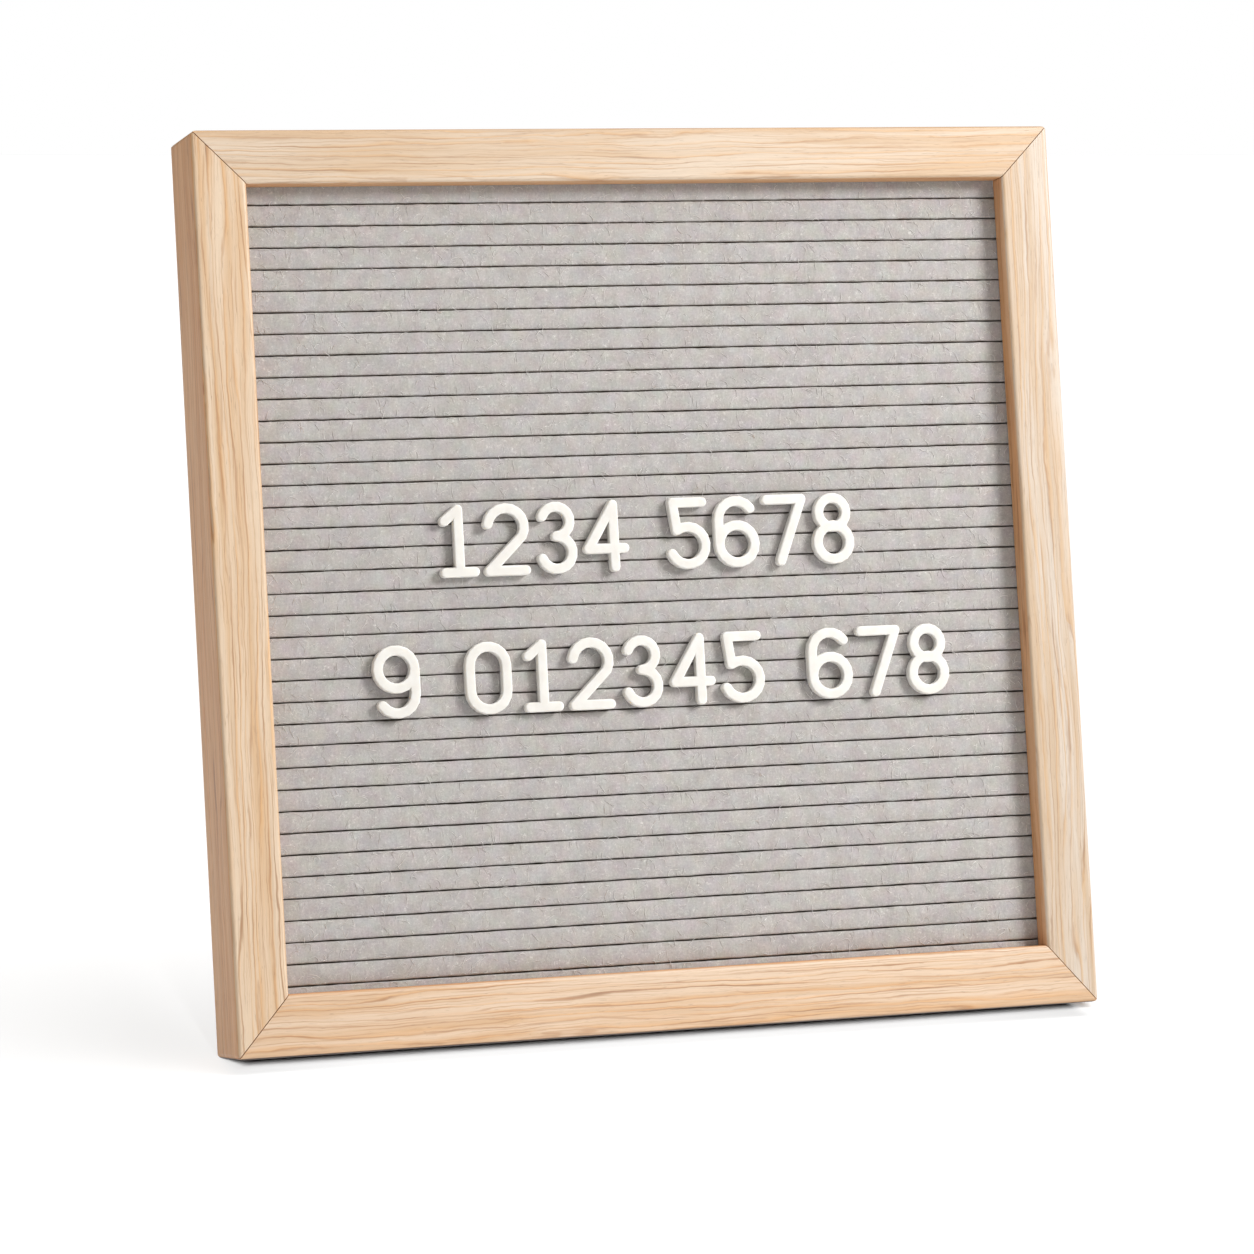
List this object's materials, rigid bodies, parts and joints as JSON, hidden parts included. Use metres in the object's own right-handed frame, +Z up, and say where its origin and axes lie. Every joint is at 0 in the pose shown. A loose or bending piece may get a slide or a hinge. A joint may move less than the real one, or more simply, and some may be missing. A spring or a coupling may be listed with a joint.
{
  "type": "felt letter board",
  "caption": "Square felt letter board in a mitred wooden frame, leaning back on a hinged strut, with moulded plastic numerals seated in its grooved felt.",
  "frame": {"origin": "centre of the footprint on the surface the board stands on, under the middle of its box", "axes": "+Z up, +X to the right seen from the front, +Y towards the back, where the strut stands"},
  "size_m": [0.254, 0.0824, 0.2542],
  "materials": {
    "oak": "satin, clear sealed light oak",
    "felt": "short fuzzy warm grey felt",
    "core_fibreboard": "raw dark fibreboard",
    "hardboard": "smooth brown hardboard",
    "zinc_steel": "zinc plated",
    "numeral_plastic": "satin white moulded plastic"
  },
  "bodies": {
    "board": {"rail_top": "oak", "rail_bottom": "oak", "rail_left": "oak", "rail_right": "oak", "felt_sheet": "felt", "groove_core": "core_fibreboard", "back_panel": "hardboard", "corner_v_nail_1": "zinc_steel", "corner_v_nail_2": "zinc_steel", "corner_v_nail_3": "zinc_steel", "corner_v_nail_4": "zinc_steel", "framers_point_1": "zinc_steel", "framers_point_2": "zinc_steel", "framers_point_3": "zinc_steel", "framers_point_4": "zinc_steel", "framers_point_5": "zinc_steel", "framers_point_6": "zinc_steel", "framers_point_7": "zinc_steel", "framers_point_8": "zinc_steel", "hanger_nail_left": "zinc_steel", "hanger_nail_right": "zinc_steel", "base_screw_1": "zinc_steel", "base_screw_2": "zinc_steel", "hinge_pin": "zinc_steel", "sawtooth_hanger": "zinc_steel", "hinge_base_leaf": "zinc_steel", "upper_numeral_1": "numeral_plastic", "upper_numeral_2": "numeral_plastic", "upper_numeral_3": "numeral_plastic", "upper_numeral_4": "numeral_plastic", "upper_numeral_5": "numeral_plastic", "upper_numeral_6": "numeral_plastic", "upper_numeral_7": "numeral_plastic", "upper_numeral_8": "numeral_plastic", "lower_numeral_9": "numeral_plastic", "lower_numeral_0": "numeral_plastic", "lower_numeral_1": "numeral_plastic", "lower_numeral_2": "numeral_plastic", "lower_numeral_3": "numeral_plastic", "lower_numeral_4": "numeral_plastic", "lower_numeral_5": "numeral_plastic", "lower_numeral_6": "numeral_plastic", "lower_numeral_7": "numeral_plastic", "lower_numeral_8": "numeral_plastic"},
    "strut": {"strut_leg": "hardboard", "hinge_strut_leaf": "zinc_steel", "strut_rivet_1": "zinc_steel", "strut_rivet_2": "zinc_steel"}
  },
  "joints": [
    {"name": "strut_fold", "type": "hinge", "parent": "board", "child": "strut", "pos_m": [0, 0.01002, 0.14755], "axis": [1, 0, 0], "range_deg": [-20, 0]}
  ]
}
